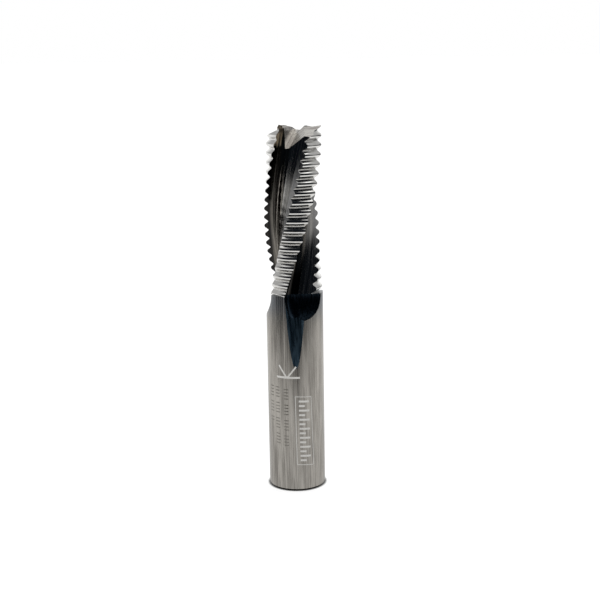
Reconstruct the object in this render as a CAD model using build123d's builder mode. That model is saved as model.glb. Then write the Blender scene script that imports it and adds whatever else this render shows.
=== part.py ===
from build123d import *
from math import cos, radians, sin, sqrt, tan
import os

os.makedirs("parts", exist_ok=True)

# Solid carbide roughing cutter with three right-hand flutes, standing on the end of its shank.
# The tool's axis is +Z and the origin is the centre of the shank's flat end. Millimetres and degrees.

# Driving dimensions
FLUTES = 3
OVERALL_LENGTH = 90.0
SHANK_DIAMETER = 14.0
SHANK_CHAMFER = 0.4
CUTTING_DIAMETER = 14.2
LEAD = 128.0  # height of one full turn of the cutting edges, a helix angle of 19 degrees
TOP_EDGE_ANGLE = 3.7  # where the first cutting edge meets the top, measured from +X
ROUGHING_LENGTH = 40.5  # from the top down to where the serrated lands end

# Cross-section of one flute and the land behind it
CORE_DIAMETER = 7.4
RAKE_ANGLE = 8.0
RAKE_DEPTH = 1.9
RELIEF_ANGLE = 13.5
RELIEF_RADIUS = 9.15  # the relieved land is an arc about a centre off the axis
LAND_ANGLE = 45.0  # from the cutting edge back to the heel
HEEL_BAND_ANGLE = 13.0  # the smooth band behind the heel
HEEL_BAND_FOOT_RADIUS = 4.8
FLOOR_FROM, FLOOR_TO = 14.0, 34.0  # the core shows between these angles ahead of the edge

# Serration of the lands
RIDGE_PITCH = 2.24
RIDGE_DEPTH = 0.87
RIDGE_STAGGER = 0.5  # the ridges of the next land behind sit this much higher
CREST_BEVEL_ANGLE = 40.0
CREST_BEVEL_LENGTH = 0.4  # along the axis, on each side of a crest
CREST_DULLING = 0.13  # how far the bevel's inner end lies under the crest
CREST_WIDTH = 0.01
VALLEY_BEVEL_HALF, VALLEY_BEVEL_RISE = 0.24, 0.13
VALLEY_FLAT_HALF = 0.10
GROOVE_AHEAD, GROOVE_BEHIND = 8.0, 44.0  # how far a groove turns to each side of the cutting edge

# Run-out of a flute into the shank: a round scoop, and a shallow groove that ends in a point
SCOOP_RADIUS = 7.3
SCOOP_ANGLE = 38.0  # ahead of the cutting edge, where the lands end
SCOOP_RIM_ANGLE = 86.0
SCOOP_TURN = 60.0
TAIL_LENGTH = 17.9
TAIL_GROOVE_RADIUS = 3.0
TAIL_SLOPE = 5.7
TAIL_ANGLE = 21.0

# End teeth
DISH_ANGLE = 1.5
END_CLEARANCE_ANGLE = 24.0
CLEARANCE_START_RADIUS = 1.5  # up to here the clearance reaches past the next tooth's edge
GASH_SLOPE = 38.0
GASH_DEPTH = 2.2  # how far below the top the sloping floor's line crosses the axis
GASH_FLOOR = 0.9
GASH_BACK_ANGLE = 38.0
GASH_START_RADIUS = 1.3
LONG_GASH_BACK_ANGLE = 66.0  # one gash is wider and runs across the axis
LONG_GASH_REACH = 2.8
CENTRE_RADIUS, CENTRE_DEPTH = 0.5, 0.8  # the cone that the tool was ground between centres on

# Worked out from them
SHANK_RADIUS = SHANK_DIAMETER / 2
EDGE_RADIUS = CUTTING_DIAMETER / 2
CORE_RADIUS = CORE_DIAMETER / 2
SPACING = 360 / FLUTES
LANDS_FROM = OVERALL_LENGTH - ROUGHING_LENGTH
LOW_EDGE_ANGLE = TOP_EDGE_ANGLE - 360 * ROUGHING_LENGTH / LEAD
CLEAR = 1.5  # how far a cutting profile stands out past the blank


def polar(radius, angle):
    """A point in the cross-section."""
    return Vector(radius * cos(radians(angle)), radius * sin(radians(angle)))


def upright_plane(angle):
    """The half-plane through the axis at this angle: its x runs outwards and its y up."""
    return Plane(origin=(0, 0, 0), x_dir=polar(1, angle), z_dir=polar(1, angle - 90))


def relief_centre(edge_angle):
    """The centre of the relieved land's arc, for a cutting edge at this angle."""
    inward = polar(RELIEF_RADIUS, edge_angle - RELIEF_ANGLE)
    return polar(EDGE_RADIUS, edge_angle) - inward


def land_point(edge_angle, back):
    """A point on the relieved land, so many degrees behind its cutting edge."""
    centre = relief_centre(edge_angle)
    along = polar(1, edge_angle - back)
    aside = centre.X * along.Y - centre.Y * along.X
    return along * (centre.dot(along) + sqrt(RELIEF_RADIUS**2 - aside**2))


def rake_foot(edge_angle):
    """The inner end of the flat rake face, which leans back under its edge."""
    edge = polar(EDGE_RADIUS, edge_angle)
    return edge - polar(RAKE_DEPTH / cos(radians(RAKE_ANGLE)), edge_angle + RAKE_ANGLE)


def flute_floor(edge_angle):
    """Edges of one flute from its cutting edge to the far end of its floor."""
    rake = Line(polar(EDGE_RADIUS, edge_angle), rake_foot(edge_angle))
    floor_start = polar(CORE_RADIUS, edge_angle + FLOOR_FROM)
    hook = TangentArc(rake @ 1, floor_start, tangent=rake % 1, mode=Mode.PRIVATE)
    Polyline(hook @ 0, hook @ 0.5, floor_start)
    return RadiusArc(floor_start, polar(CORE_RADIUS, edge_angle + FLOOR_TO), CORE_RADIUS)


def flute_wall(edge_angle):
    """Edges of one whole flute, from its cutting edge to the heel of the next land."""
    floor = flute_floor(edge_angle)
    heel_angle = edge_angle + SPACING - LAND_ANGLE
    wall = Line(floor @ 1, polar(HEEL_BAND_FOOT_RADIUS, heel_angle - HEEL_BAND_ANGLE))
    return Line(wall @ 1, land_point(edge_angle + SPACING, LAND_ANGLE))


# The fluted length: a three-lobed section twisted along the axis
with BuildPart() as lobes:
    with BuildLine() as axis_line:
        Line((0, 0, LANDS_FROM), (0, 0, OVERALL_LENGTH))
    with BuildLine() as twist:
        Helix(LEAD, ROUGHING_LENGTH, EDGE_RADIUS, center=(0, 0, LANDS_FROM))
    with BuildSketch(Plane.XY.offset(LANDS_FROM)):
        with BuildLine():
            for flute in range(FLUTES):
                edge_angle = LOW_EDGE_ANGLE + SPACING * flute
                band = flute_wall(edge_angle)
                next_edge = edge_angle + SPACING
                ThreePointArc(
                    band @ 1, land_point(next_edge, LAND_ANGLE / 2), polar(EDGE_RADIUS, next_edge)
                )
        make_face()
    sweep(path=axis_line.wire(), binormal=twist.wire())

# One groove between two ridges, turned about the relieved land's own centre
with BuildPart() as groove:
    half_pitch = RIDGE_PITCH / 2 - CREST_WIDTH / 2
    crest_in = RELIEF_RADIUS - CREST_DULLING
    crest_out = crest_in + CREST_BEVEL_LENGTH * tan(radians(CREST_BEVEL_ANGLE))
    valley = RELIEF_RADIUS - RIDGE_DEPTH
    with BuildSketch(upright_plane(-RELIEF_ANGLE - GROOVE_BEHIND)):
        with BuildLine():
            Polyline(
                (RELIEF_RADIUS + CLEAR, 0),
                (RELIEF_RADIUS + CLEAR, half_pitch),
                (crest_out, half_pitch),
                (crest_in, half_pitch - CREST_BEVEL_LENGTH),
                (valley + VALLEY_BEVEL_RISE, VALLEY_BEVEL_HALF),
                (valley, VALLEY_FLAT_HALF),
                (valley, 0),
            )
            mirror(about=Plane.XZ)
        make_face()
    revolve(axis=Axis.Z, revolution_arc=GROOVE_AHEAD + GROOVE_BEHIND)


def groove_places():
    """Where each groove goes: beside its land, which turns with height, and staggered by land."""
    places = []
    for land in range(FLUTES):
        height = OVERALL_LENGTH - RIDGE_PITCH / 2 + RIDGE_STAGGER * land
        while height > LANDS_FROM + RIDGE_PITCH / 2:
            turn = TOP_EDGE_ANGLE - SPACING * land - 360 * (OVERALL_LENGTH - height) / LEAD
            centre = relief_centre(turn)
            places.append(Location((centre.X, centre.Y, height), (0, 0, turn)))
            height -= RIDGE_PITCH
    return places


# Where one flute leaves the shank
with BuildPart() as run_out:
    outside = SHANK_RADIUS + CLEAR
    with BuildSketch(Plane.XY.offset(LANDS_FROM)):
        with BuildLine():
            floor = flute_floor(LOW_EDGE_ANGLE)
            rim = LOW_EDGE_ANGLE + SCOOP_RIM_ANGLE
            Polyline(
                floor @ 1,
                polar(SHANK_RADIUS, rim),
                polar(outside, rim),
                polar(outside, (rim + LOW_EDGE_ANGLE) / 2),
                polar(outside, LOW_EDGE_ANGLE),
                polar(EDGE_RADIUS, LOW_EDGE_ANGLE),
            )
        make_face()
    across = LOW_EDGE_ANGLE + SCOOP_ANGLE
    pivot = polar(CORE_RADIUS + SCOOP_RADIUS, across) + Vector(0, 0, LANDS_FROM)
    revolve(axis=Axis(pivot, polar(1, across - 90)), revolution_arc=SCOOP_TURN)
    tail_angle = LOW_EDGE_ANGLE + TAIL_ANGLE
    tail_tip = polar(SHANK_RADIUS, tail_angle) + Vector(0, 0, LANDS_FROM - TAIL_LENGTH)
    tail_axis = polar(sin(radians(TAIL_SLOPE)), tail_angle) - Vector(0, 0, cos(radians(TAIL_SLOPE)))
    with BuildSketch(Plane(tail_tip, x_dir=polar(1, tail_angle + 90), z_dir=tail_axis)):
        with Locations((0, TAIL_GROOVE_RADIUS)):
            Circle(TAIL_GROOVE_RADIUS)
    extrude(amount=TAIL_LENGTH + CLEAR, both=True)
    split(bisect_by=Plane.XY.offset(LANDS_FROM), keep=Keep.BOTTOM)

# The clearance behind one end edge
with BuildPart() as clearance:
    outside = EDGE_RADIUS + CLEAR
    outward = polar(1, TOP_EDGE_ANGLE)
    ahead = polar(1, TOP_EDGE_ANGLE + 90)
    up = Vector(0, 0, 1)
    middle = Vector(0, 0, OVERALL_LENGTH - EDGE_RADIUS * tan(radians(DISH_ANGLE)))
    edge_line = outward * cos(radians(DISH_ANGLE)) + up * sin(radians(DISH_ANGLE))
    behind = ahead * cos(radians(END_CLEARANCE_ANGLE)) + up * sin(radians(END_CLEARANCE_ANGLE))
    with BuildSketch(Plane(middle, x_dir=edge_line, z_dir=edge_line.cross(behind))):
        with BuildLine():
            Polyline(
                (0, 0),
                (outside, 0),
                (outside, -outside),
                (-outside / 2, -outside),
                polar(CLEARANCE_START_RADIUS, -SPACING),
                close=True,
            )
        make_face()
    extrude(amount=outside, dir=(0, 0, 1))


def gash(edge_angle, reach, back_angle):
    """The sloping channel ahead of one end edge, from so far beyond the axis outwards."""
    with BuildPart() as channel:
        outward = polar(1, edge_angle)
        slope = radians(GASH_SLOPE)
        start = Vector(0, 0, OVERALL_LENGTH - GASH_DEPTH + reach * tan(slope)) - outward * reach
        down = outward * cos(slope) - Vector(0, 0, sin(slope))
        height = EDGE_RADIUS + CLEAR
        lean = height * tan(radians(back_angle))
        with BuildSketch(Plane(start, x_dir=polar(1, edge_angle + 90), z_dir=down)):
            with BuildLine():
                Polyline(
                    (0, 0),
                    (0, height),
                    (GASH_FLOOR + lean, height),
                    (GASH_FLOOR, 0),
                    close=True,
                )
            make_face()
        extrude(amount=height * 2)
    return channel.part


short_gash = gash(TOP_EDGE_ANGLE, -GASH_START_RADIUS, GASH_BACK_ANGLE)
long_gash = gash(TOP_EDGE_ANGLE - SPACING, LONG_GASH_REACH, LONG_GASH_BACK_ANGLE)


with BuildPart() as cutter:
    # Shank
    with BuildSketch(Plane.XZ):
        with BuildLine():
            Polyline(
                (0, 0),
                (SHANK_RADIUS - SHANK_CHAMFER, 0),
                (SHANK_RADIUS, SHANK_CHAMFER),
                (SHANK_RADIUS, LANDS_FROM),
                (0, LANDS_FROM),
                close=True,
            )
        make_face()
    revolve(axis=Axis.Z)
    add(lobes.part)
    with Locations(groove_places()):
        add(groove.part, mode=Mode.SUBTRACT)
    with PolarLocations(0, FLUTES):
        add(run_out.part, mode=Mode.SUBTRACT)
    with PolarLocations(0, FLUTES):
        add(clearance.part, mode=Mode.SUBTRACT)
    with PolarLocations(0, FLUTES - 1, angular_range=SPACING * (FLUTES - 1)):
        add(short_gash, mode=Mode.SUBTRACT)
    add(long_gash, mode=Mode.SUBTRACT)
    # Centre in the end
    with BuildSketch(Plane.XZ):
        with BuildLine():
            Polyline(
                (0, OVERALL_LENGTH),
                (CENTRE_RADIUS, OVERALL_LENGTH),
                (0, OVERALL_LENGTH - CENTRE_DEPTH),
                close=True,
            )
        make_face()
    revolve(axis=Axis.Z, mode=Mode.SUBTRACT)

cutter.part.label = "cutter"
export_step(cutter.part, "parts/cutter.step")
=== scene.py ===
from math import cos, pi, radians, sin, tan

import bmesh
import bpy
import numpy as np
from mathutils import Matrix, Vector


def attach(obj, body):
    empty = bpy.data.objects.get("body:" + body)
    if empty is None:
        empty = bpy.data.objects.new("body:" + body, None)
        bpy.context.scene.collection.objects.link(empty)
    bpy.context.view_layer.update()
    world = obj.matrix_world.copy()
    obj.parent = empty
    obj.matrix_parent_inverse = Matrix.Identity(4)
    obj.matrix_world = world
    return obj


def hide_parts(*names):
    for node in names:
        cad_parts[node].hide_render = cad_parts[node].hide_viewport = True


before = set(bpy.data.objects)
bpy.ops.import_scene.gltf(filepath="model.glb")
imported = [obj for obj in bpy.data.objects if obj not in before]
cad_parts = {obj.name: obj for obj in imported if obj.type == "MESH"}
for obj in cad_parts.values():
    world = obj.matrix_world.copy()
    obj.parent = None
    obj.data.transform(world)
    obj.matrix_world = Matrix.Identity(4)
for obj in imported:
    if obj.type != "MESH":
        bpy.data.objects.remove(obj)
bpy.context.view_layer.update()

# The roughing cutter stands on its shank at the origin, axis up. Sizes are in millimetres until
# a mesh is made, and angles in degrees. They are those of the part's source, but the ridges are round.
MM = 0.001

# The whole tool
FLUTES = 3
OVERALL_LENGTH = 90.0
SHANK_RADIUS = 7.0
SHANK_CHAMFER = 0.4
EDGE_RADIUS = 7.1
CORE_RADIUS = 3.7
LEAD = 128.0
TOP_EDGE_ANGLE = 3.7  # where the first cutting edge meets the top, measured from +X
LANDS_FROM = 49.5
SPACING = 360 / FLUTES
LOW_EDGE_ANGLE = TOP_EDGE_ANGLE - 360 * (OVERALL_LENGTH - LANDS_FROM) / LEAD

# The section of a flute and of its land
RAKE_ANGLE = 8.0
RAKE_DEPTH = 1.9
RELIEF_ANGLE = 13.5
RELIEF_RADIUS = 9.15
LAND_ANGLE = 45.0  # from the cutting edge back to the heel
HEEL_BAND_ANGLE = 13.0  # the smooth band behind the heel
HEEL_BAND_FOOT_RADIUS = 4.8
FLOOR_FROM, FLOOR_TO = 14.0, 34.0  # the core shows between these angles ahead of the edge

# The ridges
RIDGE_PITCH = 2.24
RIDGE_STAGGER = 0.5  # the ridges of the next land behind sit this much higher
CREST_RADIUS = 0.6
VALLEY_RADIUS = 0.24
RIDGE_FLANK_ANGLE = 50.0

# The run-outs
SCOOP_RADIUS = 7.3
SCOOP_ANGLE = 38.0
SCOOP_RIM_ANGLE = 86.0
SCOOP_TURN = 60.0
TAIL_LENGTH = 17.9
TAIL_GROOVE_RADIUS = 3.0
TAIL_SLOPE = 5.7
TAIL_ANGLE = 21.0

# The end teeth
DISH_ANGLE = 1.5
END_CLEARANCE_ANGLE = 24.0
CLEARANCE_CORNER = (-0.8, -1.28)  # past the axis and behind the edge
GASH_SLOPE = 38.0
GASH_DEPTH = 2.2  # how far below the top the sloping floor's line crosses the axis
GASH_FLOOR = 0.9
GASH_BACK_ANGLE = 38.0
GASH_START_RADIUS = 1.3
LONG_TOOTH = 2  # the gash of this tooth is wider and runs across the axis
LONG_GASH_BACK_ANGLE = 66.0
LONG_GASH_REACH = 2.8
CENTRE_RADIUS = 0.5
CENTRE_DEPTH = 0.8

# How far the solids overlap where they join, and how far the cuts reach past the tool
SINK = 0.02
PEG_RADIUS, PEG_LENGTH = 3.5, 2
SCOOP_OVERCUT = 0.5
TAIL_OVERCUT = TAIL_LENGTH / 3
CENTRE_OVERCUT = 1
CLEAR = 1.5
OUTSIDE = EDGE_RADIUS + CLEAR

# How finely curves are divided, and the ring that stands for a point on the axis
RAKE_STEPS, HOOK_STEPS, FLOOR_STEPS = 6, 10, 4
WALL_STEPS, BAND_STEPS, LAND_STEPS = 6, 5, 20
STEPS_TO_WALL = RAKE_STEPS + HOOK_STEPS + FLOOR_STEPS
ROWS_PER_PITCH = 24
SHANK_STEPS = 240
SCOOP_ROWS = 40
TAIL_STEPS = 96
CENTRE_STEPS = 32
AXIS_RADIUS = 0.01
SHARP_ANGLE = 24


# Sections of the fluted length, as arrays with one row for each height
def polar(radius, angle):
    """Points in the cross-section."""
    turned = np.radians(angle)
    return np.stack([radius * np.cos(turned), radius * np.sin(turned)], -1)


def ridge_depth(height, land):
    """How deep the serration is at each height, for a land counted from the first one backwards."""
    phase = (OVERALL_LENGTH + RIDGE_STAGGER * land - height) % RIDGE_PITCH
    along = np.minimum(phase, RIDGE_PITCH - phase)
    flank = radians(RIDGE_FLANK_ANGLE)
    crest_end = CREST_RADIUS * sin(flank)
    valley_start = RIDGE_PITCH / 2 - VALLEY_RADIUS * sin(flank)
    crest_drop = CREST_RADIUS * (1 - cos(flank))
    flank_drop = (valley_start - crest_end) * tan(flank)
    valley_rise = VALLEY_RADIUS * (1 - cos(flank))
    crest = CREST_RADIUS - np.sqrt(CREST_RADIUS**2 - np.minimum(along, crest_end) ** 2)
    side = crest_drop + (along - crest_end) * tan(flank)
    beyond = np.minimum(RIDGE_PITCH / 2 - along, VALLEY_RADIUS * sin(flank))
    bottom = crest_drop + flank_drop + valley_rise
    valley = bottom - (VALLEY_RADIUS - np.sqrt(VALLEY_RADIUS**2 - beyond**2))
    return np.where(along < crest_end, crest, np.where(along < valley_start, side, valley))


def between(start, end, count, last=False):
    """Points on the straight line from start to end, for each row."""
    share = np.linspace(0, 1, count + 1)[: count + 1 if last else count]
    return start[:, None] + (end - start)[:, None] * share[None, :, None]


def arc(centre, start, end, count):
    """Points on the shorter arc about a centre from start to just before end, for each row."""
    from_angle = np.arctan2(*(start - centre).T[::-1])
    turn = np.arctan2(*(end - centre).T[::-1]) - from_angle
    turn = (turn + pi) % (2 * pi) - pi
    angle = from_angle[:, None] + turn[:, None] * np.linspace(0, 1, count + 1)[None, :count]
    radius = np.linalg.norm(start - centre, axis=1)[:, None, None]
    return centre[:, None] + radius * np.stack([np.cos(angle), np.sin(angle)], -1)


def on_ring(foot, outwards, centre, radius):
    """Where the ray from foot meets the circle about centre, for each row."""
    from_centre = foot - centre
    slant = (outwards * from_centre).sum(1)
    reach = np.sqrt(slant**2 - (from_centre**2).sum(1) + radius**2) - slant
    return foot + outwards * reach[:, None]


def relief_centre(edge_angle):
    """The centre of the arc that a land follows behind its cutting edge."""
    return polar(EDGE_RADIUS, edge_angle) - polar(RELIEF_RADIUS, edge_angle - RELIEF_ANGLE)


def flute_points(edge_angle, depth, next_depth):
    """One flute from its cutting edge to the heel of the next land, one row for each edge angle."""
    centre = relief_centre(edge_angle)
    next_edge = edge_angle + SPACING
    next_centre = relief_centre(next_edge)
    rake_out = polar(1.0, edge_angle + RAKE_ANGLE)
    rake_foot = polar(EDGE_RADIUS, edge_angle) - rake_out * RAKE_DEPTH / cos(radians(RAKE_ANGLE))
    edge = on_ring(rake_foot, rake_out, centre, RELIEF_RADIUS - depth)
    floor_start = polar(CORE_RADIUS, edge_angle + FLOOR_FROM)
    floor_end = polar(CORE_RADIUS, edge_angle + FLOOR_TO)
    aside = np.stack([-rake_out[:, 1], rake_out[:, 0]], -1)
    chord = floor_start - rake_foot
    hook_radius = (chord**2).sum(1) / (2 * (aside * chord).sum(1))
    hook_centre = rake_foot + aside * hook_radius[:, None]
    heel_angle = next_edge - LAND_ANGLE
    band_foot = polar(HEEL_BAND_FOOT_RADIUS, heel_angle - HEEL_BAND_ANGLE)
    heel_out = polar(1.0, heel_angle)
    heel = on_ring(np.zeros_like(heel_out), heel_out, next_centre, RELIEF_RADIUS)
    band_out = (heel - band_foot) / np.linalg.norm(heel - band_foot, axis=1)[:, None]
    scalloped_heel = on_ring(band_foot, band_out, next_centre, RELIEF_RADIUS - next_depth)
    return np.concatenate(
        [
            between(edge, rake_foot, RAKE_STEPS),
            arc(hook_centre, rake_foot, floor_start, HOOK_STEPS),
            arc(np.zeros_like(floor_start), floor_start, floor_end, FLOOR_STEPS),
            between(floor_end, band_foot, WALL_STEPS),
            between(band_foot, scalloped_heel, BAND_STEPS, last=True),
        ],
        1,
    )


def land_points(edge_angle, heel, edge):
    """The relieved land from its heel to its cutting edge, without either end."""
    return arc(relief_centre(edge_angle), heel, edge, LAND_STEPS)[:, 1:]


# Meshes
def mesh_object(name, points, faces, material):
    """A mesh object from points in millimetres and faces."""
    mesh = bpy.data.meshes.new(name)
    mesh.from_pydata([tuple(point) for point in np.asarray(points) * MM], [], faces)
    mesh.materials.append(material)
    piece = bpy.data.objects.new(name, mesh)
    bpy.context.scene.collection.objects.link(piece)
    bm = bmesh.new()
    bm.from_mesh(mesh)
    bmesh.ops.recalc_face_normals(bm, faces=bm.faces)
    bm.to_mesh(mesh)
    bm.free()
    return piece


def loft(name, rows, material):
    """A closed body through rows of points, one ring for each row, with flat ends."""
    count, around = rows.shape[:2]
    faces = []
    for row in range(count - 1):
        for column in range(around):
            following = (column + 1) % around
            lower, upper = row * around, (row + 1) * around
            faces.append((lower + column, lower + following, upper + following, upper + column))
    faces.append(tuple(reversed(range(around))))
    faces.append(tuple((count - 1) * around + column for column in range(around)))
    return mesh_object(name, rows.reshape(-1, 3), faces, material)


def turned_body(name, outline, steps, material):
    """A closed body turned about the axis, from places as (radius, height)."""
    turn = np.arange(steps) * 360 / steps
    rings = [np.column_stack([polar(radius, turn), np.full(steps, height)]) for radius, height in outline]
    return loft(name, np.stack(rings), material)


def prism(name, base, along, material):
    """A closed body with this base, drawn out along a vector."""
    base = np.array(base)
    return loft(name, np.stack([base, base + along]), material)


def carve(piece, tool, operation="DIFFERENCE"):
    """Cuts a tool out of a piece, or joins it on, and removes the tool."""
    change = piece.modifiers.new("carve", "BOOLEAN")
    change.operation = operation
    change.solver = "MANIFOLD"
    change.object = tool
    change.material_mode = "TRANSFER"
    depsgraph = bpy.context.evaluated_depsgraph_get()
    carved = bpy.data.meshes.new_from_object(piece.evaluated_get(depsgraph))
    piece.modifiers.clear()
    piece.data = carved
    bpy.data.objects.remove(tool)
    if not carved.polygons:
        raise SystemExit("carving " + piece.name + " left nothing")


# Shader nodes
def add_node(tree, kind, inputs=(), **settings):
    """Adds a node with its settings and, for each input named, a value or a link."""
    node = tree.nodes.new("ShaderNode" + kind)
    for name, value in settings.items():
        setattr(node, name, value)
    for name, value in dict(inputs).items():
        if isinstance(value, bpy.types.NodeSocket):
            tree.links.new(value, node.inputs[name])
        else:
            node.inputs[name].default_value = value
    return node


def calculate(tree, operation, first, second):
    """One arithmetic step."""
    return add_node(tree, "Math", {0: first, 1: second}, operation=operation).outputs[0]


def vector_step(tree, operation, first, second=(0, 0, 0), output="Vector"):
    """One step with vectors, whose result is a vector or the named output."""
    return add_node(tree, "VectorMath", {0: first, 1: second}, operation=operation).outputs[output]


def ramp(tree, source, low, high, from_value=0.0, to_value=1.0):
    """Maps a value smoothly from the range low to high onto another one."""
    limits = {"Value": source, "From Min": low, "From Max": high, "To Min": from_value, "To Max": to_value}
    return add_node(tree, "MapRange", limits, interpolation_type="SMOOTHSTEP").outputs[0]


def blend(tree, share, first, second):
    """Mixes two colours."""
    colours = {0: share, 6: first, 7: second}
    return add_node(tree, "Mix", colours, data_type="RGBA").outputs[2]


def object_place(tree):
    """Where a point lies in the object's own frame, in metres."""
    return add_node(tree, "TexCoord").outputs["Object"]


def part_of(tree, place, axis):
    """One of a place's three coordinates."""
    return add_node(tree, "SeparateXYZ", {0: place}).outputs[axis]


NOISE_DETAIL = 3.0
NOISE_ROUGHNESS = 0.6


def noise(tree, place, across, along):
    """Noise whose grains are so long, in millimetres, across and along the tool."""
    scale = (1 / (across * MM), 1 / (across * MM), 1 / (along * MM))
    stretched = add_node(tree, "Mapping", {"Vector": place, "Scale": scale}).outputs[0]
    grains = {"Vector": stretched, "Scale": 1.0, "Detail": NOISE_DETAIL, "Roughness": NOISE_ROUGHNESS}
    return add_node(tree, "TexNoise", grains).outputs[0]


def turned_place(tree, place, angle):
    """A place turned about the axis."""
    turn = {"Vector": place, "Angle": angle}
    return add_node(tree, "VectorRotate", turn, rotation_type="Z_AXIS").outputs[0]


# Courses of the grinding marks
def straight(tree, place):
    """Grinding marks run along the tool."""
    return place


def twisted(tree, place):
    """Grinding marks run along the helix."""
    untwist = calculate(tree, "MULTIPLY", part_of(tree, place, "Z"), -2 * pi / (LEAD * MM))
    return turned_place(tree, place, untwist)


# An end tooth's marks reach to both sides of a middle that lies so far behind its cutting edge
END_MARKS_SETBACK = 25


def radial(tree, place):
    """Grinding marks run outwards along the nearest end tooth."""
    angle = calculate(tree, "ARCTAN2", part_of(tree, place, "Y"), part_of(tree, place, "X"))
    from_middle = calculate(tree, "SUBTRACT", angle, radians(TOP_EDGE_ANGLE - END_MARKS_SETBACK))
    tooth = calculate(tree, "ROUND", calculate(tree, "DIVIDE", from_middle, radians(SPACING)), 0.0)
    back = calculate(tree, "MULTIPLY", tooth, -radians(SPACING))
    turned = turned_place(tree, place, calculate(tree, "SUBTRACT", back, radians(TOP_EDGE_ANGLE)))
    ordered = {"X": part_of(tree, turned, "Y"), "Z": part_of(tree, turned, "X")}
    return add_node(tree, "CombineXYZ", ordered).outputs[0]


# Ground carbide. Streaks and stains are so many times as long and wide as a grain.
STREAK_LENGTH = 40
STAIN_WIDTH, STAIN_LENGTH = 6, 60
STAIN_STRENGTH = 0.6
TONES_FROM, TONES_TO = 0.6, 1.0
STREAKS_FROM, STREAKS_TO = 0.3, 0.7
SMOOTHER, ROUGHER = 0.06, 0.08
RELIEF_HEIGHT = 0.02


def ground_metal(name, dark, light, roughness, grain, course=twisted, bump=0.2, lay=0.0):
    """Ground carbide: streaks along the cut between two tones, stains, and a fine relief.

    The lay is how far the grinding marks lean the surface upwards, as the tangent of an angle."""
    material = bpy.data.materials.new(name)
    material.use_nodes = True
    tree = material.node_tree
    shader = tree.nodes["Principled BSDF"]
    shader.inputs["Metallic"].default_value = 1.0
    place = course(tree, object_place(tree))
    streaks = noise(tree, place, grain, grain * STREAK_LENGTH)
    stains = noise(tree, place, grain * STAIN_WIDTH, grain * STAIN_LENGTH)
    mixed = calculate(tree, "ADD", calculate(tree, "MULTIPLY", stains, STAIN_STRENGTH), streaks)
    share = ramp(tree, mixed, TONES_FROM, TONES_TO)
    tree.links.new(blend(tree, share, (*dark, 1), (*light, 1)), shader.inputs["Base Color"])
    rough = ramp(tree, streaks, STREAKS_FROM, STREAKS_TO, roughness - SMOOTHER, roughness + ROUGHER)
    tree.links.new(rough, shader.inputs["Roughness"])
    surface = add_node(tree, "NewGeometry").outputs["Normal"]
    leaning = vector_step(tree, "NORMALIZE", vector_step(tree, "ADD", surface, (0, 0, lay)))
    relief = {"Height": streaks, "Strength": bump, "Distance": RELIEF_HEIGHT * MM, "Normal": leaning}
    tree.links.new(add_node(tree, "Bump", relief).outputs[0], shader.inputs["Normal"])
    return material


def tint(material, share, tone):
    """Blends a material's colour to a tone, or to another colour in its nodes."""
    tree = material.node_tree
    base = tree.nodes["Principled BSDF"].inputs["Base Color"]
    tree.links.new(blend(tree, share, base.links[0].from_socket, tone), base)


def tint_upwards(material, tone, start, full, most):
    """Tints a material more and more from one height up to another."""
    tree = material.node_tree
    height = part_of(tree, object_place(tree), "Z")
    tint(material, ramp(tree, height, start * MM, full * MM, 0.0, most), (*tone, 1))


# Over what distance the painted dark reflection fades inwards from the edge, and the painted shade upwards
# from the run-out
EDGE_FADE = 0.6
RUN_OUT_FADE = 4.5


def paint_dark_reflection_and_shade(material, tone, outside, below, most):
    """Paints a dark reflection into a material's colour near the cutting edge, and shade where the flute
    runs out.
    """
    tree = material.node_tree
    place = object_place(tree)
    radius = vector_step(tree, "LENGTH", vector_step(tree, "MULTIPLY", place, (1, 1, 0)), output="Value")
    painted_edge_reflection = ramp(tree, radius, outside * MM, (outside + EDGE_FADE) * MM, 0.0, most)
    # Painted shade, darker low in the flute towards the run-out
    low = ramp(tree, part_of(tree, place, "Z"), (below - RUN_OUT_FADE) * MM, below * MM, most, 0.0)
    tint(material, calculate(tree, "MAXIMUM", painted_edge_reflection, low), (*tone, 1))


# Heat tints: the tones between the straw bands and at the very tip, and the bands' size
TEMPER_DARK = (0.17, 0.12, 0.09, 1)
TEMPER_TIP = (0.12, 0.1, 0.08, 1)
TEMPER_GRAIN, TEMPER_LENGTH = 0.3, 9.0
TEMPER_UNEVENNESS = 3.0
BANDS_FROM, BANDS_TO = 0.4, 0.52
TIP_FROM, TIP_TO, TIP_SHARE = 88.4, 89.2, 0.8


def temper(material, straw, start, full, roughness):
    """Tints a material towards the end of the tool, as heat does, and leaves it rougher there."""
    tree = material.node_tree
    place = object_place(tree)
    height = part_of(tree, place, "Z")
    streaks = noise(tree, twisted(tree, place), TEMPER_GRAIN, TEMPER_LENGTH)
    uneven = calculate(tree, "ADD", height, calculate(tree, "MULTIPLY", streaks, TEMPER_UNEVENNESS * MM))
    share = ramp(tree, uneven, start * MM, full * MM)
    banded = blend(tree, ramp(tree, streaks, BANDS_FROM, BANDS_TO), TEMPER_DARK, (*straw, 1))
    tip = ramp(tree, height, TIP_FROM * MM, TIP_TO * MM, 0.0, TIP_SHARE)
    tint(material, share, blend(tree, tip, banded, TEMPER_TIP))
    rough = tree.nodes["Principled BSDF"].inputs["Roughness"]
    more = calculate(tree, "MULTIPLY", share, roughness)
    tree.links.new(calculate(tree, "ADD", rough.links[0].from_socket, more), rough)


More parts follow.
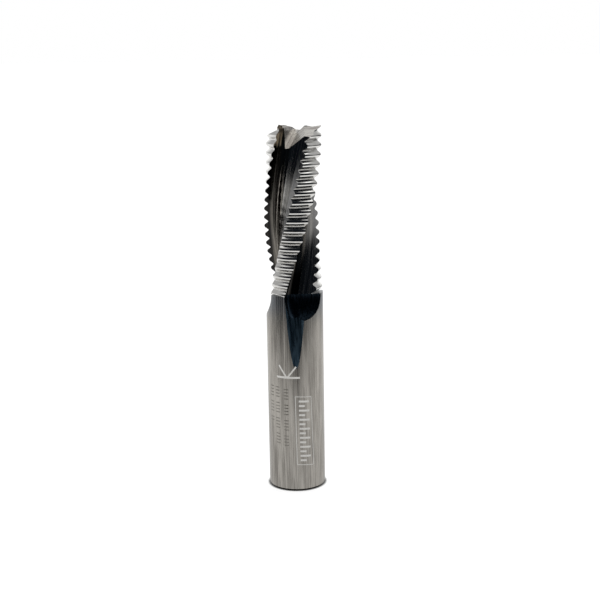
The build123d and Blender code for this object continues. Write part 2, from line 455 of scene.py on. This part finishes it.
# Finishes of the surfaces, from the shank up
ground_shank = ground_metal(
    "ground_shank", (0.28, 0.263, 0.238), (0.57, 0.541, 0.495),
    roughness=0.26, grain=0.26, course=straight,
)
tint_upwards(ground_shank, (0.24, 0.262, 0.29), start=42.0, full=48.0, most=0.75)
etching = ground_metal(
    "etching", (0.7, 0.69, 0.66), (0.84, 0.83, 0.8),
    roughness=0.34, grain=0.2, course=straight, lay=-0.25,
)
dark_etching = ground_metal(
    "dark_etching", (0.16, 0.15, 0.13), (0.4, 0.38, 0.35),
    roughness=0.4, grain=0.2, course=straight,
)
tail_finish = ground_metal(
    "tail_finish", (0.042, 0.08, 0.12), (0.1, 0.165, 0.225),
    roughness=0.3, grain=0.4, course=straight, bump=0.1,
)
run_out_finish = ground_metal(
    "run_out_finish", (0.02, 0.032, 0.048), (0.045, 0.07, 0.1),
    roughness=0.3, grain=0.4, course=straight, bump=0.1,
)
# The ridged land is a lit copy of the carbide: its tones are brighter than the shank's, which paints part
# of the crests' highlights; the streaks between the tones are the grinding
ridged_land = ground_metal(
    "ridged_land", (0.82, 0.81, 0.78), (0.92, 0.91, 0.89),
    roughness=0.12, grain=0.3, bump=0.05, lay=-0.18,
)
heel_finish = ground_metal(
    "heel_finish", (0.36, 0.36, 0.36), (0.6, 0.59, 0.58),
    roughness=0.3, grain=0.15,
)
wall_finish = ground_metal(
    "wall_finish", (0.3, 0.292, 0.278), (0.8, 0.78, 0.74),
    roughness=0.22, grain=0.4, lay=0.06,
)
flute_finish, rake_finish = [
    ground_metal(name, (0.14, 0.132, 0.118), (0.55, 0.51, 0.45), roughness=0.16, grain=0.35, lay=0.1)
    for name in ("flute_finish", "rake_finish")
]
# Painted dark reflection along the cutting edge and painted shade low in the flute, both nearly black
for finish in (flute_finish, rake_finish):
    paint_dark_reflection_and_shade(finish, (0.012, 0.012, 0.013), outside=5.3, below=58.0, most=0.92)
temper(rake_finish, (1.0, 0.85, 0.62), start=86.8, full=88.0, roughness=0.5)
end_finish = ground_metal(
    "end_finish", (0.46, 0.42, 0.4), (1.0, 0.99, 0.93),
    roughness=0.24, grain=0.22, course=radial, bump=0.45, lay=0.08,
)

# The fluted length. Its faces go round in the same order in each ring, so that the finishes repeat.
LAND, FLUTE, HEEL, RAKE, WALL = range(5)
RAKE_FACES = RAKE_STEPS + HOOK_STEPS // 2
heights = np.arange(0, OVERALL_LENGTH - LANDS_FROM, RIDGE_PITCH / ROWS_PER_PITCH) + LANDS_FROM
heights = np.append(heights, OVERALL_LENGTH)
heights[0] -= SINK
turned = TOP_EDGE_ANGLE - 360 * (OVERALL_LENGTH - heights) / LEAD
depths = [ridge_depth(heights, -flute % FLUTES) for flute in range(FLUTES)]
flute_rows = [
    flute_points(turned + SPACING * flute, depths[flute], depths[(flute + 1) % FLUTES])
    for flute in range(FLUTES)
]
columns = []
for flute in range(FLUTES):
    following = flute_rows[(flute + 1) % FLUTES]
    next_edge = turned + SPACING * (flute + 1)
    columns.append(flute_rows[flute])
    columns.append(land_points(next_edge, flute_rows[flute][:, -1], following[:, 0]))
section = np.concatenate(columns, 1)
rows = np.concatenate([section, np.repeat(heights[:, None, None], section.shape[1], 1)], -1)
cutter = loft("cutter_body", rows, ridged_land)
for finish in (flute_finish, heel_finish, rake_finish, wall_finish):
    cutter.data.materials.append(finish)
slots = [RAKE] * RAKE_FACES + [FLUTE] * (STEPS_TO_WALL - RAKE_FACES)
slots += [WALL] * WALL_STEPS + [HEEL] * BAND_STEPS + [LAND] * LAND_STEPS
for index, face in enumerate(cutter.data.polygons):
    face.material_index = slots[index % len(slots)]

# Shank, with a peg that reaches into the core
shank_outline = [
    (AXIS_RADIUS, 0),
    (SHANK_RADIUS - SHANK_CHAMFER, 0),
    (SHANK_RADIUS, SHANK_CHAMFER),
    (SHANK_RADIUS, LANDS_FROM),
    (PEG_RADIUS, LANDS_FROM),
    (PEG_RADIUS, LANDS_FROM + PEG_LENGTH),
]
carve(cutter, turned_body("shank", shank_outline, SHANK_STEPS, ground_shank), "UNION")

# What is ground away
UP = np.array([0, 0, 1.0])


def outward_and_ahead(angle):
    """The directions away from the axis and round it, at an angle."""
    return np.append(polar(1.0, angle), 0), np.append(polar(1.0, angle + 90), 0)


def scoop(edge_angle):
    """The flute's floor with a wider wall, turned outwards about an axis beside the tool."""
    overcut = np.array([-SCOOP_OVERCUT])
    floor = flute_points(np.array([edge_angle]), overcut, np.array([0.0]))[0][: STEPS_TO_WALL + 1]
    rim = edge_angle + SCOOP_RIM_ANGLE
    outside = SHANK_RADIUS + CLEAR
    closing = [polar(SHANK_RADIUS, rim), polar(outside, rim)]
    closing += [polar(outside, (rim + edge_angle) / 2), polar(outside, edge_angle)]
    profile = np.vstack([floor, closing])
    across = polar(1.0, edge_angle + SCOOP_ANGLE)
    beside = np.array([-across[1], across[0]])
    out = profile @ across - CORE_RADIUS - SCOOP_RADIUS
    aside = profile @ beside
    rings = []
    for turn in np.radians(np.linspace(0, SCOOP_TURN, SCOOP_ROWS)):
        flat = across * (CORE_RADIUS + SCOOP_RADIUS + out * cos(turn))[:, None] + beside * aside[:, None]
        rings.append(np.column_stack([flat, LANDS_FROM + out * sin(turn)]))
    return loft("scoop", np.stack(rings), run_out_finish)


def tail(edge_angle):
    """A round bar that leaves the shank at a shallow slope."""
    outward, aside = outward_and_ahead(edge_angle + TAIL_ANGLE)
    slope = radians(TAIL_SLOPE)
    axis = outward * sin(slope) - UP * cos(slope)
    lean = np.cross(axis, aside)
    tip = outward * SHANK_RADIUS + UP * (LANDS_FROM - TAIL_LENGTH)
    middle = tip + lean * TAIL_GROOVE_RADIUS
    circle = polar(TAIL_GROOVE_RADIUS, np.arange(TAIL_STEPS) * 360 / TAIL_STEPS)
    lower = middle + circle[:, :1] * aside + circle[:, 1:] * lean
    upper = lower + axis * ((LANDS_FROM - lower[:, 2]) / axis[2])[:, None]
    return loft("tail", np.stack([upper, lower + axis * TAIL_OVERCUT]), tail_finish)


def clearance(edge_angle):
    """What lies above an end tooth: above its dished edge and the slope behind it."""
    outward, ahead = outward_and_ahead(edge_angle)
    middle = UP * (OVERALL_LENGTH - EDGE_RADIUS * tan(radians(DISH_ANGLE)))
    along = outward + UP * tan(radians(DISH_ANGLE))
    sloping = ahead + UP * tan(radians(END_CLEARANCE_ANGLE))
    corners = [(0, 0), (OUTSIDE, 0), (OUTSIDE, -OUTSIDE), (-OUTSIDE / 2, -OUTSIDE), CLEARANCE_CORNER]
    base = [middle + along * x + sloping * y for x, y in corners]
    return prism("clearance", base, UP * OUTSIDE, end_finish)


def gash(edge_angle, reach, back_angle):
    """The notch ahead of an end tooth. It starts beyond the axis by its reach and runs out downwards."""
    outward, ahead = outward_and_ahead(edge_angle)
    slope = radians(GASH_SLOPE)
    down = outward * cos(slope) - UP * sin(slope)
    open_side = outward * sin(slope) + UP * cos(slope)
    start = UP * (OVERALL_LENGTH - GASH_DEPTH + reach * tan(slope)) - outward * reach
    lean = OUTSIDE * tan(radians(back_angle))
    profile = [(0, 0), (0, OUTSIDE), (GASH_FLOOR + lean, OUTSIDE), (GASH_FLOOR, 0)]
    base = [start + ahead * x + open_side * y for x, y in profile]
    return prism("gash", base, down * OUTSIDE * 2, end_finish)


for flute in range(FLUTES):
    low_edge = LOW_EDGE_ANGLE + SPACING * flute
    top_edge = TOP_EDGE_ANGLE + SPACING * flute
    carve(cutter, scoop(low_edge))
    carve(cutter, tail(low_edge))
    carve(cutter, clearance(top_edge))
    if flute == LONG_TOOTH:
        carve(cutter, gash(top_edge, LONG_GASH_REACH, LONG_GASH_BACK_ANGLE))
    else:
        carve(cutter, gash(top_edge, -GASH_START_RADIUS, GASH_BACK_ANGLE))
centre_outline = [
    (AXIS_RADIUS, OVERALL_LENGTH + CENTRE_OVERCUT),
    (CENTRE_RADIUS, OVERALL_LENGTH + CENTRE_OVERCUT),
    (CENTRE_RADIUS, OVERALL_LENGTH),
    (AXIS_RADIUS, OVERALL_LENGTH - CENTRE_DEPTH),
]
carve(cutter, turned_body("centre_hole", centre_outline, CENTRE_STEPS, end_finish))
cutter.name = "cutter_body"
cutter.data.shade_smooth()
cutter.data.set_sharp_from_angle(angle=radians(SHARP_ANGLE))
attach(cutter, "root")
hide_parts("cutter")

# Etched marks, thin strips that follow the shank: places are (angle from the front, height)
MARK_LIFT = 0.004
MARK_RADIUS = SHANK_RADIUS + MARK_LIFT
STRETCH = 0.15
DARK = 1
LIMIT_LINE = [(-41.4, 29.3), (8.5, 29.3)]
LIMIT_WIDTH = 0.5
LIMIT_ARMS = [[(-35.5, 32.3), (-18.6, 29.3)], [(-17.2, 29.3), (0.8, 32.1)]]
ARM_WIDTH = 0.4
PLATE = [(-1.8, 24.5), (31.5, 24.2), (35.9, 6.5), (0.3, 6.9)]
OUTLINE_WIDTH = 0.16
PLATE_TICKS = 14
PLATE_TICK_WIDTH = 0.5
TICK_START, LONG_TICK_END, SHORT_TICK_END = 0.2, 0.84, 0.56

# Rows of fine ticks as (angle, top height, count), with every fifth tick left out
FINE_ROWS = [(-57.0, 26.6, 12), (-40.5, 26.6, 19), (-21.0, 26.2, 19)]
FINE_GROUP = 5
FINE_PITCH = 0.8
FINE_WIDTH = 0.26
FINE_HALF_ANGLE = 5.0


def strip(start, end, width):
    """The four corners of each short stretch of a line between two places on the shank."""
    ends = np.array([start, end]) * (radians(1) * MARK_RADIUS, 1)
    way = ends[1] - ends[0]
    aside = np.array([-way[1], way[0]]) / np.linalg.norm(way) * width / 2
    count = int(np.ceil(abs(way[0]) / STRETCH)) + 1
    corners = []
    for stretch in range(count):
        here, there = ends[0] + way * stretch / count, ends[0] + way * (stretch + 1) / count
        for corner in (here - aside, there - aside, there + aside, here + aside):
            angle = corner[0] / MARK_RADIUS - pi / 2
            corners.append((MARK_RADIUS * cos(angle), MARK_RADIUS * sin(angle), corner[1]))
    return corners


frosted = strip(*LIMIT_LINE, LIMIT_WIDTH)
for arm in LIMIT_ARMS:
    frosted += strip(*arm, ARM_WIDTH)
for index, corner in enumerate(PLATE):
    frosted += strip(corner, PLATE[(index + 1) % len(PLATE)], OUTLINE_WIDTH)
top_left, top_right, low_right, low_left = np.array(PLATE)
for tick in range(PLATE_TICKS):
    share = (tick + 1) / (PLATE_TICKS + 1)
    left = top_left + (low_left - top_left) * share
    across = top_right + (low_right - top_right) * share - left
    end = SHORT_TICK_END if tick % 2 else LONG_TICK_END
    frosted += strip(left + across * TICK_START, left + across * end, PLATE_TICK_WIDTH)
dark_ticks = []
for angle, top, count in FINE_ROWS:
    for tick in range(count):
        if (tick + 1) % FINE_GROUP:
            height = top - tick * FINE_PITCH
            ends = (angle - FINE_HALF_ANGLE, height), (angle + FINE_HALF_ANGLE, height)
            dark_ticks += strip(*ends, FINE_WIDTH)
corners = frosted + dark_ticks
quads = [tuple(range(index, index + 4)) for index in range(0, len(corners), 4)]
marks = mesh_object("etched_marks", corners, quads, etching)
marks.data.materials.append(dark_etching)
frosted_quads = len(frosted) // 4
for face in marks.data.polygons[frosted_quads:]:
    face.material_index = DARK
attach(marks, "root")

# Floor: white paper, in metres. What the metal mirrors of it is a painted glow: a painted pool of light
# near the tool and again far behind it to the left, painted shade a little darker round the foot, and a
# painted contact shadow, black, in a narrow ring at the foot.
FLOOR_CORNERS = [(-3, -0.6, 0), (3, -0.6, 0), (3, 3, 0), (-3, 3, 0)]
PAPER_COLOUR = (0.86, 0.86, 0.85, 1)
PAPER_ROUGHNESS = 0.9
PAPER_GLOW = 0.85
NEAR_SPOT = (0.02, 0.06, 0)
NEAR_FROM, NEAR_TO = 0.12, 0.26
NEAR_LIGHT, NEAR_REST = 0.85, 0.005
FAR_DIRECTION = (-0.6, 0.8, 0)
FAR_FROM, FAR_TO = 0.12, 0.2
FAR_LIGHT = 0.9
SHADE_FROM, SHADE_TO = 0.02, 0.08
SHADE_LIGHT = 0.8
# Where the painted contact shadow lies, as distances from the axis
CONTACT_SHADOW_FROM, CONTACT_SHADOW_TO = 0.007, 0.0077


def floor_paper():
    """Matt white paper, with what the camera and the metal see of it set apart."""
    paper = bpy.data.materials.new("floor_paper")
    paper.use_nodes = True
    tree = paper.node_tree
    matt = tree.nodes["Principled BSDF"]
    matt.inputs["Base Color"].default_value = PAPER_COLOUR
    matt.inputs["Roughness"].default_value = PAPER_ROUGHNESS
    matt.inputs["Specular IOR Level"].default_value = 0.0
    place = object_place(tree)
    # Painted light: the glow that the metal mirrors, bright near the tool and far behind it to the left
    from_spot = vector_step(tree, "DISTANCE", place, NEAR_SPOT, output="Value")
    near = ramp(tree, from_spot, NEAR_FROM, NEAR_TO, NEAR_LIGHT, NEAR_REST)
    depth = vector_step(tree, "DOT_PRODUCT", place, FAR_DIRECTION, output="Value")
    far = ramp(tree, depth, FAR_FROM, FAR_TO, 0.0, FAR_LIGHT)
    from_foot = vector_step(tree, "LENGTH", place, output="Value")
    # Painted shade round the foot, and a painted contact shadow in a thin ring at the foot that the camera
    # sees too
    shade = ramp(tree, from_foot, SHADE_FROM, SHADE_TO, SHADE_LIGHT)
    painted_contact_shadow = ramp(tree, from_foot, CONTACT_SHADOW_FROM, CONTACT_SHADOW_TO)
    pool = calculate(tree, "MULTIPLY", calculate(tree, "MAXIMUM", near, far), shade)
    mirrored = add_node(tree, "Emission", {"Strength": calculate(tree, "MULTIPLY", pool, painted_contact_shadow)})
    seen = add_node(tree, "LightPath")
    glow = calculate(tree, "MULTIPLY", seen.outputs["Is Camera Ray"], PAPER_GLOW)
    shown = add_node(tree, "Emission", {"Strength": calculate(tree, "MULTIPLY", glow, painted_contact_shadow)})
    lit = add_node(tree, "AddShader", {0: matt.outputs[0], 1: shown.outputs[0]})
    choice = {0: seen.outputs["Is Glossy Ray"], 1: lit.outputs[0], 2: mirrored.outputs[0]}
    surface = add_node(tree, "MixShader", choice).outputs[0]
    tree.links.new(surface, tree.nodes["Material Output"].inputs["Surface"])
    return paper


floor_mesh = bpy.data.meshes.new("floor")
floor_mesh.from_pydata(FLOOR_CORNERS, [], [(0, 1, 2, 3)])
floor_mesh.materials.append(floor_paper())
floor = bpy.data.objects.new("floor", floor_mesh)
bpy.context.scene.collection.objects.link(floor)

# World: white to the camera. The metal mirrors a room that is grey behind and beside, brighter
# straight behind and in a band high up, and dark in front and overhead.
WHITE = (1, 1, 1, 1)
ROOM_DARK = (0.006, 0.008, 0.011, 1)
BACKWARDS = (0.08, 1.0, 0.0)
SIDES_FROM, SIDES_TO, SIDES_LIGHT = -0.36, 0.08, 0.4
WINDOW_FROM, WINDOW_TO, WINDOW_LIGHT = 0.7, 0.98, 0.6
BAND_FROM, BAND_TO, BAND_LIGHT = 0.72, 0.84, 1.2
CEILING_FROM, CEILING_TO, CEILING_LIGHT = 0.88, 0.97, 0.06

world = bpy.data.worlds.new("studio")
bpy.context.scene.world = world
world.use_nodes = True
tree = world.node_tree
toward = add_node(tree, "TexCoord").outputs["Generated"]
upward = part_of(tree, toward, "Z")
backward = vector_step(tree, "DOT_PRODUCT", toward, BACKWARDS, output="Value")
sides = ramp(tree, backward, SIDES_FROM, SIDES_TO, 0.0, SIDES_LIGHT)
window = ramp(tree, part_of(tree, toward, "Y"), WINDOW_FROM, WINDOW_TO, 0.0, WINDOW_LIGHT)
band = calculate(tree, "MULTIPLY", sides, ramp(tree, upward, BAND_FROM, BAND_TO, 0.0, BAND_LIGHT))
walls = calculate(tree, "ADD", calculate(tree, "ADD", sides, window), band)
ceiling = ramp(tree, upward, CEILING_FROM, CEILING_TO, 1.0, CEILING_LIGHT)
room = blend(tree, calculate(tree, "MULTIPLY", walls, ceiling), ROOM_DARK, WHITE)
seen = add_node(tree, "LightPath").outputs["Is Camera Ray"]
tree.links.new(blend(tree, seen, room, WHITE), tree.nodes["Background"].inputs["Color"])
tree.nodes["Background"].inputs["Strength"].default_value = 1.0

# Lamp: a soft box overhead at the right, in metres and watts, that faces the tool
LAMP_PLACE = Vector((0.28, -0.05, 0.65))
LAMP_AIM = Vector((0, 0, 0.05))
LAMP_SIDE = 0.3
LAMP_POWER = 0.11

lamp = bpy.data.lights.new("overhead", "AREA")
lamp.shape = "RECTANGLE"
lamp.size = LAMP_SIDE
lamp.size_y = LAMP_SIDE
lamp.energy = LAMP_POWER
softbox = bpy.data.objects.new("overhead", lamp)
bpy.context.scene.collection.objects.link(softbox)
softbox.location = LAMP_PLACE
softbox.rotation_euler = (LAMP_AIM - LAMP_PLACE).to_track_quat("-Z", "Y").to_euler()

# Camera, at the height and distance that the photograph's perspective gives
EYE = Vector((1.33, -300.0, 116.0)) * MM
PITCH_DOWN = 12.91
ROLL = -0.91
LENS, SENSOR = 74.82, 36.0
CLIP_START = 0.01

camera_data = bpy.data.cameras.new("camera")
camera_data.lens = LENS
camera_data.sensor_width = SENSOR
camera_data.clip_start = CLIP_START
camera = bpy.data.objects.new("camera", camera_data)
bpy.context.scene.collection.objects.link(camera)
aim = Matrix.Rotation(radians(90 - PITCH_DOWN), 4, "X") @ Matrix.Rotation(radians(ROLL), 4, "Z")
camera.matrix_world = Matrix.Translation(EYE) @ aim
bpy.context.scene.camera = camera
bpy.context.scene.view_settings.view_transform = "Standard"
